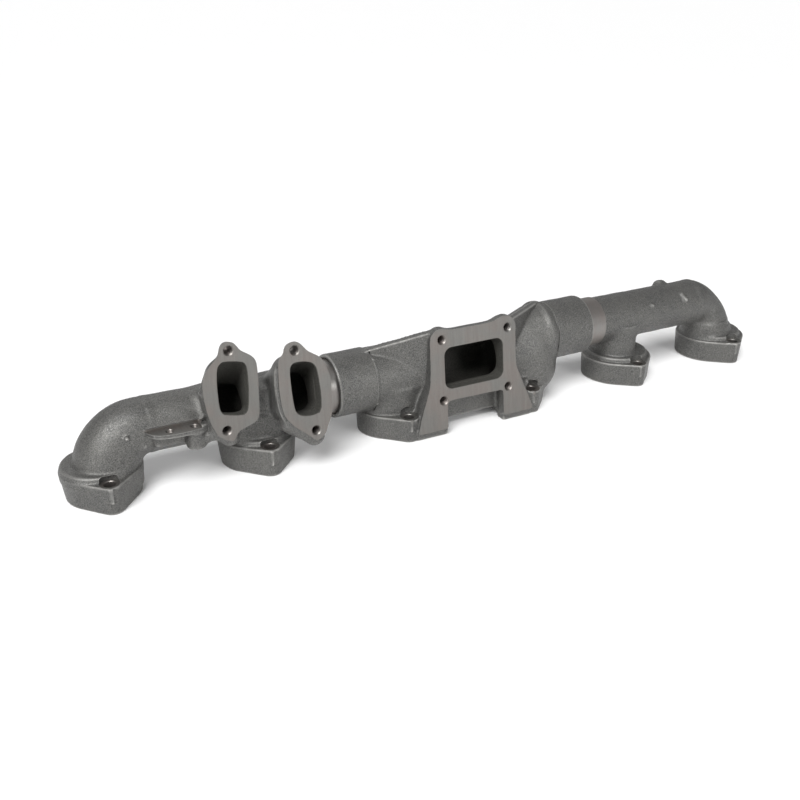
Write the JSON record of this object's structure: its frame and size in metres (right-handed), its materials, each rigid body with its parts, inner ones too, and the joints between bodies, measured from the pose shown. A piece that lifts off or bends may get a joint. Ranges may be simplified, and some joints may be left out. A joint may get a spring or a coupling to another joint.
{
  "type": "exhaust manifold",
  "caption": "Three-piece slip-jointed cast iron exhaust manifold for an inline six, with turbocharger flange and two recirculation outlets.",
  "frame": {"origin": "middle of the six-port row, on the plane of the machined port faces", "axes": "+X along the port row from the elbow with the two outlets to the other end, -Y the turbocharger side, +Z away from the port faces"},
  "size_m": [0.883, 0.1153, 0.1538],
  "materials": {
    "front_casting": "shot-blasted cast surface with milled faces",
    "centre_casting": "shot-blasted cast surface with milled faces",
    "rear_casting": "shot-blasted cast surface with milled faces",
    "seal_ring": "ground spring steel"
  },
  "bodies": {
    "centre": {"centre_section": "centre_casting"},
    "front": {"front_section": "front_casting", "front_seal_ring_inner": "seal_ring", "front_seal_ring_middle": "seal_ring", "front_seal_ring_outer": "seal_ring"},
    "rear": {"rear_section": "rear_casting", "rear_seal_ring_inner": "seal_ring", "rear_seal_ring_middle": "seal_ring", "rear_seal_ring_outer": "seal_ring"}
  },
  "joints": [
    {"name": "front_slip", "type": "slide", "parent": "centre", "child": "front", "axis": [1, 0, 0], "range_m": [-0.004, 0.004]},
    {"name": "rear_slip", "type": "slide", "parent": "centre", "child": "rear", "axis": [1, 0, 0], "range_m": [-0.004, 0.004]}
  ]
}
